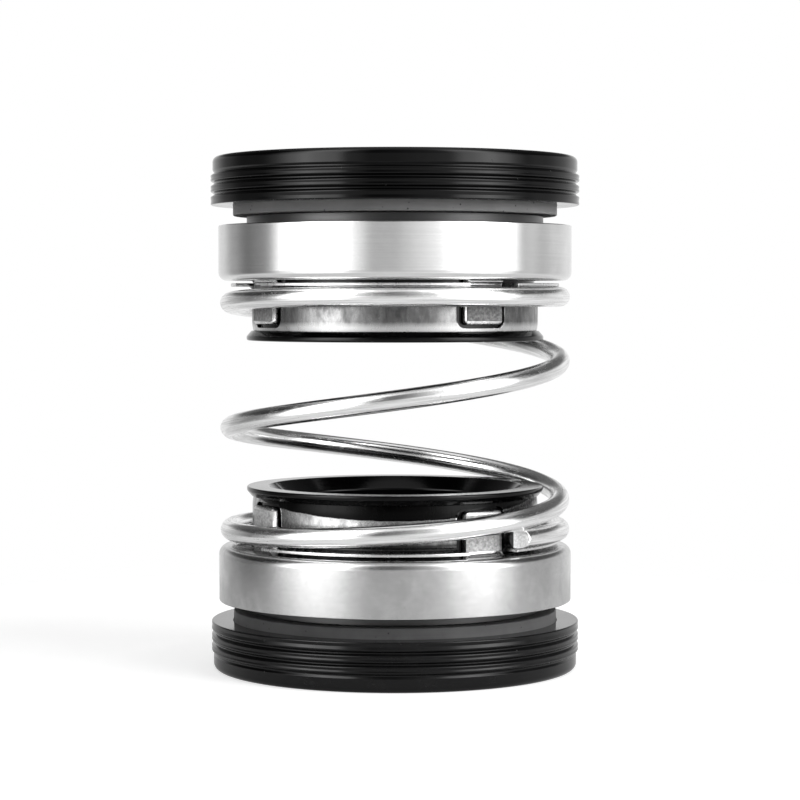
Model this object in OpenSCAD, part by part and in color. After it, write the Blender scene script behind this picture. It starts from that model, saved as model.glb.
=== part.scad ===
// Double mechanical seal for a pump shaft: two equal bellows heads pushed apart by one coil spring,
// each running on a ring held in a rubber cup. Every head is drawn with its outer end at z = 0.

/* [Shaft] */
// Diameter of the shaft that the rubber necks grip
shaft_d = 25; // [20:0.5:32]
// Radial room between the shaft and the bore of each seat ring
seat_clear = 0.8; // [0.5:0.1:1.2]
// Radial room between the shaft and the bore of each face ring
face_clear = 0.9; // [0.5:0.1:1.3]

/* [Seat cup] */
// Axial height of the rubber cup
cup_h = 5.3; // [4.8:0.1:8]
// Rubber between the seat ring and the rib crests
cup_wall = 2.42; // [1.8:0.01:3.5]
// Rubber behind the seat ring
cup_floor = 1.3; // [0.8:0.1:2]
// Width of the seat ring's back that the hole in the cup leaves bare
floor_bare = 0.9; // [0.5:0.1:1.5]
// How far the plain land at the outer end lies below the rib crests
land_drop = 0.23; // [0.1:0.01:0.4]
// Rounding of the outer end
cup_round = 1; // [0.4:0.1:1.2]
// Number of grooves round the cup
groove_n = 3; // [1:1:3]
// Distance from one groove to the next
groove_pitch = 1.17; // [0.8:0.01:1.2]
// Depth of a groove below the crests
groove_depth = 0.36; // [0.15:0.01:0.6]
// Width of a groove at its mouth
groove_w = 0.42; // [0.2:0.01:0.6]

/* [Running faces] */
// Height of the seat ring above its cup
seat_stand = 1.15; // [0.6:0.05:2]
// Width of the seat ring beyond the nose that runs on it
seat_margin = 1.5; // [0.8:0.1:2.5]
// Width of the running nose
nose_w = 2.85; // [2:0.05:3.5]
// Length of the nose that shows between the seat ring and the shell
nose_stand = 1.05; // [0.6:0.05:2]
// Step from the nose out to the body of the face ring
face_step = 1.15; // [0.5:0.05:2]
// Length of the body of the face ring
face_body = 3.6; // [2.5:0.1:3.8]

/* [Shell] */
// Axial length of the pressed shell
shell_h = 6; // [5.8:0.1:9]
// Sheet thickness of the shell and its fingers
shell_t = 0.65; // [0.4:0.05:0.9]
// Rounding of the shell's shoulder, measured outside
shoulder_r = 0.9; // [0.7:0.05:1.5]
// Rubber between the face ring and the shell
head_wall = 1.27; // [0.8:0.01:2]
// Recess of the rubber behind the shell's open edge
head_recess = 0.4; // [0.2:0.05:0.8]

/* [Drive fingers] */
// Direction of the first pair of fingers, measured from +X
finger_a = -54; // [-180:1:180]
// Angle from the first pair round to the second pair
finger_split = 82; // [60:1:120]
// Width of a finger
finger_w = 4.7; // [3:0.1:6]
// Height of a finger above the shell
finger_h = 4.75; // [3:0.05:6]
// Rounding of the finger's corners
finger_round = 0.5; // [0.2:0.05:0.9]
// Room between a finger and each side of its slot
slot_side = 0.8; // [0.3:0.05:1.5]
// Room left past a finger's tip when the shell has come up to the flange
slot_spare = 0.05; // [0.05:0.05:0.8]

/* [Drive band] */
// Sheet thickness of the drive band
band_t = 0.35; // [0.3:0.05:0.7]
// Metal left round the neck past the slots
band_bridge = 0.35; // [0.3:0.05:1.5]
// Length of the sleeve's rounded end
crown_h = 1.1; // [0.6:0.1:1.6]
// How far the sleeve's end is rounded in
crown_drop = 0.12; // [0.04:0.01:0.2]
// Rounding between the sleeve and its flange
band_fillet = 0.5; // [0.2:0.05:0.7]
// Free gap between the shell and the flange, which the bellows takes up
float_gap = 0.3; // [0.1:0.01:0.6]
// How far the flange stops short of the wire's centre line
flange_short = 0.1; // [0:0.05:0.5]

/* [Bellows] */
// Wall of the neck that grips the shaft
neck_wall = 2.8; // [2:0.05:4]
// Length of the neck that grips the shaft
neck_grip = 3.4; // [2:0.1:3.8]
// Thickness of the rubber lip past the band
lip_t = 1.05; // [0.6:0.05:2]
// Width that the lip stands proud of the band
lip_proud = 0.62; // [0.3:0.01:1]
// Width that the lip's root stands proud of the band
lip_root = 0.11; // [0:0.01:0.2]
// Width of the bevel at the mouth of the neck
mouth_bevel = 1.4; // [0.5:0.1:2]
// Depth of the flexing groove inside the neck
relief = 1.5; // [0.5:0.1:1.8]

/* [Spring] */
// Wire diameter
wire_d = 2.15; // [1.6:0.05:2.6]
// Free length over both ends
spring_len = 27.65; // [24:0.05:34]
// Turns of wire from cut end to cut end
spring_turns = 3.48; // [3:0.01:4.5]
// Angle that lies flat at each end
end_flat = 225; // [180:5:300]
// Angle over which the wire eases from flat to full pitch
end_ease = 200; // [60:5:240]
// Direction of the lower cut end, measured from +X
cut_a = -45; // [-180:1:180]
// Radial room between the coil and the fingers
coil_clear = 0.88; // [0.4:0.01:1.5]

/* [Hidden] */
$fn = 96;

// Smallest rounding that the press leaves inside a bend
least_round = 0.2;

// Clearances between pieces that touch on the real seal
face_film = 0.01;
rubber_fit = 0.03;
sheet_fit = 0.2;
spring_seat = 0.02;

// Facets of the wire
wire_sides = 18;
turn_steps = 56;

// Radii, from the shaft outwards
shaft_r = shaft_d / 2;
seat_bore_r = shaft_r + seat_clear;
face_bore_r = shaft_r + face_clear;
nose_r = face_bore_r + nose_w;
face_r = nose_r + face_step;
seat_r = nose_r + seat_margin;
crest_r = seat_r + rubber_fit + cup_wall;
land_r = crest_r - land_drop;
neck_r = shaft_r + neck_wall;
band_in_r = neck_r + rubber_fit;
band_r = band_in_r + band_t;
finger_in_r = neck_r + sheet_fit;
finger_r = finger_in_r + shell_t;
shell_in_r = face_r + rubber_fit + head_wall;
shell_r = shell_in_r + shell_t;
shell_hole_r = band_r + sheet_fit;
coil_r = finger_r + coil_clear + wire_d / 2;
flange_r = coil_r - flange_short;
lip_r = band_r + lip_proud;
lip_root_r = band_r + lip_root;
inner_round = max(shoulder_r - shell_t, least_round);

// Heights of one head, from its outer end towards the spring
seat_face_z = cup_h + seat_stand;
nose_z = seat_face_z + face_film;
shell_z = nose_z + nose_stand;
shell_end_z = shell_z + shell_h;
finger_tip_z = shell_end_z + finger_h;
slot_end_z = finger_tip_z + float_gap + slot_spare;
flange_z = shell_end_z + float_gap;
flange_top_z = flange_z + band_t;
band_end_z = slot_end_z + band_bridge;
lip_end_z = band_end_z + rubber_fit + lip_t;
spring_z = flange_top_z + spring_seat;
total_h = 2 * spring_z + spring_len;

finger_angles = [for (pair = [0, finger_split], side = [0, 180]) finger_a + pair + side];

function arc(x, z, r, from, to, steps = 6) =
    [for (i = [0:steps]) let (a = from + (to - from) * i / steps) [x + r * cos(a), z + r * sin(a)]];

// Places a head at the lower end as drawn, or turned over at the upper end
module at_lower() {
    children();
}

module at_upper() {
    translate([0, 0, total_h]) mirror([0, 0, 1]) children();
}

// An upright plate standing out along the direction a, with round corners at its top
module upright(a, w, z0, z1, r) {
    rotate([0, 0, a]) rotate([90, 0, 90]) linear_extrude(shell_r) polygon(concat(
        [[-w / 2, z0], [w / 2, z0]],
        arc(w / 2 - r, z1 - r, r, 0, 90, 4),
        arc(r - w / 2, z1 - r, r, 90, 180, 4)
    ));
}

module groove_section() {
    bevel = 0.08;
    polygon([
        [crest_r + bevel, -groove_w / 2 - 2 * bevel],
        [crest_r - bevel, -groove_w / 2],
        [crest_r - groove_depth, -groove_w / 6],
        [crest_r - groove_depth, groove_w / 6],
        [crest_r - bevel, groove_w / 2],
        [crest_r + bevel, groove_w / 2 + 2 * bevel]
    ]);
}

module cup_section() {
    edge = 0.1;
    pocket_r = seat_r + rubber_fit;
    hole_r = seat_bore_r + floor_bare;
    first_rib = cup_h - groove_n * groove_pitch;
    round_end = -4;
    polygon(concat(
        [[hole_r, edge], [hole_r + edge, 0]],
        arc(land_r - cup_round, cup_round, cup_round, -90, round_end),
        [[land_r, first_rib], [crest_r, first_rib],
         [crest_r, cup_h - edge], [crest_r - edge, cup_h],
         [pocket_r + edge, cup_h], [pocket_r, cup_h - edge],
         [pocket_r, cup_floor - rubber_fit], [hole_r, cup_floor - rubber_fit]]
    ));
}

module seat_cup() {
    color([0.06, 0.06, 0.065]) difference() {
        rotate_extrude() cup_section();
        for (i = [1:groove_n]) translate([0, 0, cup_h - i * groove_pitch]) rotate_extrude() groove_section();
    }
}

module seat_ring() {
    edge = 0.3;
    lap = 0.15;
    color([0.42, 0.42, 0.43]) rotate_extrude() polygon([
        [seat_bore_r + edge, cup_floor], [seat_r - edge, cup_floor], [seat_r, cup_floor + edge],
        [seat_r, seat_face_z - lap], [seat_r - lap, seat_face_z],
        [seat_bore_r + edge, seat_face_z], [seat_bore_r, seat_face_z - edge],
        [seat_bore_r, cup_floor + edge]
    ]);
}

module face_ring() {
    edge = 0.3;
    lap = 0.1;
    step_z = shell_z + head_recess;
    back_z = step_z + face_body;
    color([0.16, 0.16, 0.17]) rotate_extrude() polygon([
        [face_bore_r + lap, nose_z], [nose_r - lap, nose_z], [nose_r, nose_z + lap],
        [nose_r, step_z], [face_r - edge, step_z], [face_r, step_z + edge],
        [face_r, back_z - edge], [face_r - edge, back_z],
        [face_bore_r + edge, back_z], [face_bore_r, back_z - edge], [face_bore_r, nose_z + lap]
    ]);
}

// Half section of the pressed cup, without its fingers
module shell_section() {
    edge = 0.12;
    polygon(concat(
        [[shell_in_r, shell_z], [shell_r - edge, shell_z], [shell_r, shell_z + edge]],
        arc(shell_r - shoulder_r, shell_end_z - shoulder_r, shoulder_r, 0, 90),
        [[shell_hole_r, shell_end_z], [shell_hole_r, shell_end_z - shell_t]],
        arc(shell_in_r - inner_round, shell_end_z - shell_t - inner_round, inner_round, 90, 0)
    ));
}

// Section of one finger with its bend out of the shell's end wall
module finger_section() {
    tip = 0.12;
    inside = 0.5;
    outside = inside + shell_t;
    lap = shell_t / 2;
    root_r = finger_r + inside + lap;
    polygon(concat(
        [[root_r, shell_end_z], [root_r, shell_end_z - shell_t]],
        arc(finger_in_r + outside, shell_end_z - shell_t + outside, outside, -90, -180),
        [[finger_in_r, finger_tip_z - tip], [finger_in_r + tip, finger_tip_z],
         [finger_r - tip, finger_tip_z], [finger_r, finger_tip_z - tip]],
        arc(finger_r + inside, shell_end_z + inside, inside, -180, -90)
    ));
}

module shell() {
    over = 0.05;
    color([0.78, 0.78, 0.77]) {
        rotate_extrude() shell_section();
        for (a = finger_angles) intersection() {
            rotate_extrude() finger_section();
            upright(a, finger_w, shell_end_z - 2 * shell_t, finger_tip_z + over, finger_round);
        }
    }
}

module drive_band() {
    edge = 0.1;
    slot_w = finger_w + 2 * slot_side;
    slot_round = 2 * finger_round;
    crown_r = (crown_h * crown_h + crown_drop * crown_drop) / (2 * crown_drop);
    color([0.74, 0.74, 0.73]) difference() {
        rotate_extrude() polygon(concat(
            [[band_in_r, flange_z + band_fillet]],
            arc(band_in_r + band_fillet, flange_z + band_fillet, band_fillet, 180, 270),
            [[flange_r - edge, flange_z], [flange_r, flange_z + edge],
             [flange_r, flange_top_z - edge], [flange_r - edge, flange_top_z]],
            arc(band_r + band_fillet, flange_top_z + band_fillet, band_fillet, 270, 180),
            arc(band_r - crown_r, band_end_z - crown_h, crown_r, 0, asin(crown_h / crown_r)),
            [[band_in_r, band_end_z]]
        ));
        for (a = finger_angles) upright(a, slot_w, flange_z - band_t, slot_end_z, slot_round);
    }
}

// Half section of the rubber: head round the face ring, flexing wall, neck and flared lip
module bellows_section() {
    skin = 0.25;
    step_z = shell_z + head_recess;
    back_z = step_z + face_body + rubber_fit;
    wrap_r = face_r + rubber_fit;
    head_r = shell_in_r - rubber_fit;
    wall_z = shell_end_z - shell_t - rubber_fit;
    relief_r = shaft_r + relief;
    grip_end_z = lip_end_z - mouth_bevel;
    grip_z = grip_end_z - neck_grip;
    lip_round = 0.2;
    polygon(concat(
        [[wrap_r, step_z], [head_r, step_z], [head_r, wall_z - inner_round - skin],
         [head_r - inner_round - skin, wall_z], [neck_r, wall_z],
         [neck_r, band_end_z + rubber_fit], [lip_root_r, band_end_z + rubber_fit]],
        arc(lip_r - lip_round, lip_end_z - lip_round, lip_round, 0, 90, 3),
        [[shaft_r + mouth_bevel, lip_end_z], [shaft_r, grip_end_z], [shaft_r, grip_z]],
        [[relief_r, grip_z - relief], [relief_r, back_z + skin], [relief_r + skin, back_z], [wrap_r, back_z]]
    ));
}

module bellows() {
    color([0.08, 0.08, 0.085]) rotate_extrude() bellows_section();
}

// Height of the wire's centre line at the angle t from the lower cut end
function coil_height(t) = let (
        rise = spring_len - wire_d,
        climb = 360 * spring_turns - 2 * end_flat,
        u = min(max(t - end_flat, 0), climb),
        slope = rise / (climb - end_ease)
    )
    u < end_ease ? slope * u * u / (2 * end_ease)
    : u > climb - end_ease ? rise - slope * (climb - u) * (climb - u) / (2 * end_ease)
    : slope * (u - end_ease / 2);

module spring() {
    sides = wire_sides;
    steps = round(spring_turns * turn_steps);
    sweep = 360 * spring_turns;
    wire_r = wire_d / 2;
    ring = [for (i = [0:steps], k = [0:sides - 1]) let (
        t = sweep * i / steps,
        t0 = max(t - 1, 0),
        t1 = min(t + 1, sweep),
        tilt = atan2(coil_height(t1) - coil_height(t0), 2 * PI * coil_r * (t1 - t0) / 360),
        q = 360 * k / sides,
        out = coil_r + wire_r * cos(q),
        up = wire_r * sin(q),
        a = cut_a + t
    ) [
        out * cos(a) + up * sin(tilt) * sin(a),
        out * sin(a) - up * sin(tilt) * cos(a),
        spring_z + wire_r + coil_height(t) + up * cos(tilt)
    ]];
    walls = [for (i = [0:steps - 1], k = [0:sides - 1]) let (
        j = (k + 1) % sides, a = i * sides, b = a + sides
    ) [a + k, b + k, b + j, a + j]];
    color([0.8, 0.8, 0.79]) polyhedron(
        points = ring,
        faces = concat([[for (k = [0:sides - 1]) k]], walls,
                       [[for (k = [sides - 1:-1:0]) steps * sides + k]]),
        convexity = 8
    );
}

at_lower() seat_cup();  // lower_seat_cup
at_lower() seat_ring();  // lower_seat_ring
at_lower() face_ring();  // lower_face_ring
at_lower() shell();  // lower_shell
at_lower() bellows();  // lower_bellows
at_lower() drive_band();  // lower_drive_band
spring();
at_upper() drive_band();  // upper_drive_band
at_upper() bellows();  // upper_bellows
at_upper() shell();  // upper_shell
at_upper() face_ring();  // upper_face_ring
at_upper() seat_ring();  // upper_seat_ring
at_upper() seat_cup();  // upper_seat_cup
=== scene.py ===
import math

import bmesh
import bpy
from mathutils import Matrix, Vector


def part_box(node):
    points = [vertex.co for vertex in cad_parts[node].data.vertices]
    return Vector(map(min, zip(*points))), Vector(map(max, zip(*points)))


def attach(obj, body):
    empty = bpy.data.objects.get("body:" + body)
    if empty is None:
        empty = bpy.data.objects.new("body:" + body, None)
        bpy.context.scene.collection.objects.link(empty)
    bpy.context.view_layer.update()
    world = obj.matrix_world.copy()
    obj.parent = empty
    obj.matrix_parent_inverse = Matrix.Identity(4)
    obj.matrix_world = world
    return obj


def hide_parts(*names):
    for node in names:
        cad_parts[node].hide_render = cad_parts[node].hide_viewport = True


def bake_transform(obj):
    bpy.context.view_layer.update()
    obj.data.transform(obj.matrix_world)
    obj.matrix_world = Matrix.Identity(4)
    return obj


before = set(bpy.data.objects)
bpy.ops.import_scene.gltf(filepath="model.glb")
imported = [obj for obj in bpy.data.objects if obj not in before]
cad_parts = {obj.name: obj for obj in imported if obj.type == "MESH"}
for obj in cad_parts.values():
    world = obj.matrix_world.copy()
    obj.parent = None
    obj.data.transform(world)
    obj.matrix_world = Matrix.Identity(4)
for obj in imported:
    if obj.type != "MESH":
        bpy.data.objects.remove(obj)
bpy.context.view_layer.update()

mm = 0.001
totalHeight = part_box("upper_seat_cup")[1].z / mm  # the upper head is the lower one turned over at this height
print("frame loaded, total height", round(totalHeight, 3), "mm")


# Small helpers for node trees, used by the finishes, the shapes and the room.

def feed(socket, value):  # links the socket, or sets it when the value is plain
    if isinstance(value, bpy.types.NodeSocket):
        socket.id_data.links.new(value, socket)
    else:
        socket.default_value = value


def put(tree, kind, inputs=None, **settings):
    node = tree.nodes.new(kind)
    for key, value in settings.items():
        setattr(node, key, value)
    for key, value in (inputs or {}).items():
        feed(node.inputs[key], value)
    return node


def take(tree, kind, inputs=None, **settings):  # the first output of a new node
    return put(tree, kind, inputs, **settings).outputs[0]


def treeOf(*values):  # the tree that a socket among the values belongs to
    return next(value.id_data for value in values if isinstance(value, bpy.types.NodeSocket))


def calc(operation, *values):
    return take(treeOf(*values), "ShaderNodeMath", dict(enumerate(values)), operation=operation)


def plus(first, second):
    return calc("ADD", first, second)


def minus(first, second):
    return calc("SUBTRACT", first, second)


def times(first, second):
    return calc("MULTIPLY", first, second)


def within(value, low, high):  # 0 to 1 as the value goes from low to high
    return take(value.id_data, "ShaderNodeMapRange", {"Value": value, "From Min": low, "From Max": high})


def spread(mask, low, high):  # low to high as the mask goes from 0 to 1
    return take(mask.id_data, "ShaderNodeMapRange", {"Value": mask, "To Min": low, "To Max": high})


def split(vector):
    return put(vector.id_data, "ShaderNodeSeparateXYZ", {"Vector": vector}).outputs


def combine(x=0.0, y=0.0, z=0.0):
    return take(treeOf(x, y, z), "ShaderNodeCombineXYZ", {"X": x, "Y": y, "Z": z})


def colour(value):  # a socket stays as it is, a grey level or three parts become a colour
    if isinstance(value, bpy.types.NodeSocket):
        return value
    return (*value, 1.0) if isinstance(value, tuple) else (value, value, value, 1.0)


def mix(share, first, second, kind="MIX"):
    return put(treeOf(share, first, second), "ShaderNodeMix", {0: share, 6: colour(first), 7: colour(second)},
               data_type="RGBA", blend_type=kind).outputs[2]


def bump(height, depth, strength, below=None):  # depth in millimetres
    inputs = {"Height": height, "Strength": strength, "Distance": depth * mm}
    if below is not None:
        inputs["Normal"] = below
    return take(height.id_data, "ShaderNodeBump", inputs)


def makeGroup(name, kind, inputs, outputs):  # a socket is a label, its type and perhaps its first value
    tree = bpy.data.node_groups.new(name, kind)
    for direction, sockets in (("INPUT", inputs), ("OUTPUT", outputs)):
        for label, socket, *start in sockets:
            item = tree.interface.new_socket(label, in_out=direction, socket_type="NodeSocket" + socket)
            if start:
                item.default_value = start[0]
    return tree, tree.nodes.new("NodeGroupInput").outputs, tree.nodes.new("NodeGroupOutput").inputs


# Surface effects that several finishes share.

def makeTurnedLines():  # fine lines round the axis, on walls and on flat faces alike
    tree, given, out = makeGroup(
        "turnedLines", "ShaderNodeTree",
        [("Vector", "Vector"), ("Lines", "Float", 6000.0), ("Sway", "Float", 60.0)],
        [("Height", "Float"), ("Mask", "Float")])
    x, y, z = split(given["Vector"])
    away = calc("SQRT", plus(times(x, x), times(y, y)))
    point = combine(times(x, given["Sway"]), times(y, given["Sway"]), times(plus(z, away), given["Lines"]))
    noise = take(tree, "ShaderNodeTexNoise", {"Vector": point, "Scale": 1.0, "Detail": 4.0, "Roughness": 0.62})
    feed(out["Height"], noise)
    feed(out["Mask"], within(noise, 0.38, 0.66))
    return tree


def makeBlotches():  # cloudy patches, such as handling marks and uneven polish
    tree, given, out = makeGroup(
        "blotches", "ShaderNodeTree",
        [("Vector", "Vector"), ("Scale", "Float", 300.0), ("Detail", "Float", 5.0),
         ("From", "Float", 0.4), ("To", "Float", 0.65)],
        [("Mask", "Float"), ("Height", "Float")])
    noise = take(tree, "ShaderNodeTexNoise", {
        "Vector": given["Vector"], "Scale": given["Scale"], "Detail": given["Detail"],
        "Roughness": 0.6, "Distortion": 0.3})
    feed(out["Mask"], within(noise, given["From"], given["To"]))
    feed(out["Height"], noise)
    return tree


def makeSpecks():  # sparse dots, such as dust and small pits
    tree, given, out = makeGroup(
        "specks", "ShaderNodeTree",
        [("Vector", "Vector"), ("Scale", "Float", 1200.0), ("Size", "Float", 0.16), ("Share", "Float", 0.12)],
        [("Mask", "Float")])
    cells = put(tree, "ShaderNodeTexVoronoi", {"Vector": given["Vector"], "Scale": given["Scale"]}).outputs
    draw = take(tree, "ShaderNodeSeparateColor", {"Color": cells["Color"]})
    chosen = calc("LESS_THAN", draw, given["Share"])
    soft = within(cells["Distance"], given["Size"], times(given["Size"], 0.4))
    feed(out["Mask"], times(chosen, soft))
    return tree


effects = {"turnedLines": makeTurnedLines(), "blotches": makeBlotches(), "specks": makeSpecks()}


class Finish:  # one material under construction
    def __init__(self, name, **shaderValues):
        self.material = bpy.data.materials.new(name)
        self.material.use_nodes = True
        self.tree = self.material.node_tree
        self.shader = self.tree.nodes["Principled BSDF"]
        for key, value in shaderValues.items():
            self.shader.inputs[key].default_value = value
        self.place = put(self.tree, "ShaderNodeTexCoord").outputs["Object"]

    def effect(self, name, vector=None, **values):
        return put(self.tree, "ShaderNodeGroup", {"Vector": vector or self.place, **values},
                   node_tree=effects[name]).outputs

    def set(self, socket, value):
        feed(self.shader.inputs[socket], value)


def mouldedRubber(name, values):  # near black, with a little bloom and dust
    finish = Finish(name, IOR=values["ior"])
    cloud = finish.effect("blotches", Scale=values["cloudScale"], Detail=4.0)
    dust = finish.effect("specks", Scale=values["dustScale"], Size=0.17, Share=values["dustShare"])
    grain = finish.effect("blotches", Scale=values["grainScale"], Detail=2.0)
    moulding = finish.effect("turnedLines", Lines=values["lineScale"], Sway=25.0)
    tone = mix(cloud["Mask"], values["dark"], values["bloom"])
    finish.set("Base Color", mix(dust["Mask"], tone, values["dust"]))
    rough = spread(cloud["Mask"], *values["rough"])
    finish.set("Roughness", plus(rough, spread(dust["Mask"], 0.0, values["dustRough"])))
    fine = bump(grain["Height"], values["grainDepth"], strength=0.6)
    finish.set("Normal", bump(moulding["Height"], values["lineDepth"], strength=0.5, below=fine))
    return finish.material


def groundRing(name, values):  # ground ceramic or carbon, with lines from the wheel
    finish = Finish(name, IOR=values["ior"])
    lines = finish.effect("turnedLines", Lines=values["lineScale"], Sway=90.0)
    cloud = finish.effect("blotches", Scale=260.0, Detail=6.0, From=0.38, To=0.64)
    pits = finish.effect("specks", Scale=values["pitScale"], Size=0.2, Share=0.2)
    tone = mix(cloud["Mask"], values["dark"], values["pale"])
    tone = mix(spread(lines["Mask"], 0.0, values["lineShow"]), tone, values["lineTone"])
    tone = mix(spread(pits["Mask"], 0.0, values["pitShow"]), tone, values["pitTone"])
    finish.set("Base Color", tone)
    finish.set("Roughness", spread(lines["Mask"], *values["rough"]))
    finish.set("Normal", bump(lines["Height"], values["lineDepth"], strength=0.7))
    return finish.material


def bandPaintedLight(finish, values, tone, cloud):  # painted reflection, shade and highlight along a drive band, up from its own head's outer end
    middle = totalHeight / 2 * mm
    _, y, z = split(finish.place)
    height = minus(middle, calc("ABSOLUTE", minus(z, middle)))
    uneven = plus(height, spread(cloud, -values["ragged"] * mm, values["ragged"] * mm))
    sloped = minus(uneven, times(y, values["rollSlope"]))
    # a painted reflection on the rolled end, painted shade darkening the fold, and a painted highlight keeping
    # the rim bright
    roll, fold, rim = (within(level, values[part + "From"] * mm, values[part + "To"] * mm)
                       for part, level in (("roll", sloped), ("fold", uneven), ("rim", height)))
    tone = mix(fold, values["foldPaintedShade"], mix(roll, tone, values["rollPaintedReflection"]))
    return mix(rim, values["rimPaintedHighlight"], tone)


def pressedSteel(name, values):  # stainless sheet: lines from the press, cloudy polish and small marks
    finish = Finish(name, Metallic=1.0)
    sheet = take(finish.tree, "ShaderNodeMapping", {
        "Vector": finish.place, "Scale": (1.0, 1.0, values.get("stretch", 1.0))})
    lines = finish.effect("turnedLines", Lines=values["lineScale"], Sway=values["lineSway"])
    cloud = finish.effect("blotches", vector=sheet, Scale=values["cloudScale"], Detail=6.0, From=0.36, To=0.66)
    fine = finish.effect("blotches", vector=sheet, Scale=values["fineScale"], Detail=3.0)
    marks = finish.effect("specks", Scale=values["markScale"], Size=0.15, Share=values["markShare"])
    tone = mix(cloud["Mask"], values["dull"], values["bright"])
    tone = mix(spread(lines["Mask"], 0.0, values["lineShow"]), tone, values["lineTone"])
    tone = mix(spread(marks["Mask"], 0.0, 0.7), tone, values["markTone"])
    # on the drive bands, painted reflection, shade and highlight go over the steel's tone
    finish.set("Base Color", bandPaintedLight(finish, values, tone, cloud["Mask"]) if "rollPaintedReflection" in values else tone)
    smooth, coarse = values["rough"]
    rough = spread(cloud["Mask"], coarse, smooth)
    finish.set("Roughness", plus(rough, spread(fine["Mask"], 0.0, values["roughFine"])))
    below = bump(fine["Height"], values["fineDepth"], strength=0.6)
    finish.set("Normal", bump(lines["Height"], values["lineDepth"], strength=0.6, below=below))
    return finish.material


def drawnWire(name, values):  # streaks run along the wire, read from the sweep's own attributes
    finish = Finish(name, Metallic=1.0)
    along = put(finish.tree, "ShaderNodeAttribute", attribute_name="wireLength").outputs["Fac"]
    x, y, _ = split(put(finish.tree, "ShaderNodeAttribute", attribute_name="wireRound").outputs["Vector"])
    point = combine(times(along, values["streakStep"]), times(x, values["streakFine"]),
                    times(y, values["streakFine"]))
    streaks = finish.effect("blotches", vector=point, Scale=1.0, Detail=5.0, From=0.42, To=0.62)
    cloud = finish.effect("blotches", Scale=420.0, Detail=5.0, From=0.38, To=0.64)
    marks = finish.effect("specks", Scale=1500.0, Size=0.16, Share=0.1)
    tone = mix(streaks["Mask"], values["bright"], values["dull"])
    finish.set("Base Color", mix(spread(marks["Mask"], 0.0, 0.6), tone, values["markTone"]))
    rough = spread(streaks["Mask"], *values["rough"])
    finish.set("Roughness", plus(rough, spread(cloud["Mask"], 0.0, values["roughCloud"])))
    finish.set("Normal", bump(streaks["Height"], values["streakDepth"], strength=0.7))
    return finish.material


# scales are repeats to the metre, depths are in millimetres, and a single level is a grey
cupLook = {
    "ior": 1.33, "dark": (0.0015, 0.0015, 0.0016), "bloom": (0.0035, 0.0035, 0.0037), "dust": 0.03,
    "cloudScale": 240.0, "dustScale": 1100.0, "dustShare": 0.03, "dustRough": 0.25, "grainScale": 5200.0,
    "grainDepth": 0.003, "lineScale": 1500.0, "lineDepth": 0.003, "rough": (0.09, 0.13)}
# lit and shaded copies of one rubber: the lower cup is painted lighter than the upper cup
lowerCupRubber = mouldedRubber("lowerCupRubber", {
    **cupLook, "ior": 1.3, "dark": (0.004, 0.004, 0.0042), "bloom": (0.007, 0.007, 0.0073)})
upperCupRubber = mouldedRubber("upperCupRubber", {**cupLook, "ior": 1.27, "bloom": (0.0025, 0.0025, 0.0027)})
cupEndRubber = mouldedRubber("cupEndRubber", {
    **cupLook, "ior": 1.18, "bloom": (0.006, 0.006, 0.0063), "rough": (0.5, 0.62)})
bellowsRubber = mouldedRubber("bellowsRubber", {
    "ior": 1.27, "dark": (0.001, 0.001, 0.0011), "bloom": (0.0025, 0.0025, 0.0027), "dust": 0.04,
    "cloudScale": 300.0, "dustScale": 900.0, "dustShare": 0.02, "dustRough": 0.25, "grainScale": 4200.0,
    "grainDepth": 0.004, "lineScale": 1900.0, "lineDepth": 0.003, "rough": (0.08, 0.12)})
seatLook = {
    "ior": 1.3, "dark": (0.12, 0.12, 0.121), "pale": (0.155, 0.155, 0.156), "lineTone": (0.17, 0.17, 0.171),
    "lineShow": 0.4, "lineScale": 5200.0, "lineDepth": 0.004, "pitTone": 0.04, "pitShow": 0.8,
    "pitScale": 1500.0, "rough": (0.55, 0.65)}
lowerSeatCeramic = groundRing("lowerSeatCeramic", seatLook)
# lit and shaded copies of one ceramic: the lower seat ring is painted darker as painted shade, the upper
# lighter as if lit
upperSeatCeramic = groundRing("upperSeatCeramic", {
    **seatLook, "dark": (0.35, 0.35, 0.351), "pale": (0.42, 0.42, 0.421), "lineTone": (0.46, 0.46, 0.461)})
faceCarbon = groundRing("faceCarbon", {
    "ior": 1.6, "dark": (0.018, 0.018, 0.019), "pale": (0.034, 0.034, 0.035), "lineTone": 0.045,
    "lineShow": 0.4, "lineScale": 4200.0, "lineDepth": 0.004, "pitTone": 0.012, "pitShow": 0.8,
    "pitScale": 1900.0, "rough": (0.3, 0.4)})
# lit and shaded copies of one steel: the upper shell is painted lighter and the lower shell darker
upperShellSteel = pressedSteel("upperShellSteel", {
    "dull": 0.7, "bright": 0.8, "lineTone": 0.62, "lineShow": 0.25, "lineScale": 5200.0, "lineSway": 70.0,
    "lineDepth": 0.0008, "cloudScale": 130.0, "fineScale": 2400.0, "fineDepth": 0.0004, "markTone": 0.5,
    "markScale": 900.0, "markShare": 0.03, "rough": (0.13, 0.17), "roughFine": 0.02})
lowerShellSteel = pressedSteel("lowerShellSteel", {
    "dull": 0.48, "bright": 0.57, "lineTone": 0.44, "lineShow": 0.2, "lineScale": 3600.0, "lineSway": 260.0,
    "lineDepth": 0.0006, "cloudScale": 420.0, "fineScale": 2600.0, "fineDepth": 0.0006, "markTone": 0.42,
    "markScale": 1000.0, "markShare": 0.04, "rough": (0.17, 0.22), "roughFine": 0.03})
fingerLook = {
    "dull": 0.3, "bright": 0.58, "lineTone": 0.36, "lineShow": 0.1, "lineScale": 900.0, "lineSway": 900.0,
    "lineDepth": 0.001, "cloudScale": 3400.0, "fineScale": 6000.0, "fineDepth": 0.003, "markTone": 0.85,
    "markScale": 3600.0, "markShare": 0.24, "rough": (0.58, 0.66), "roughFine": 0.06}
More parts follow.
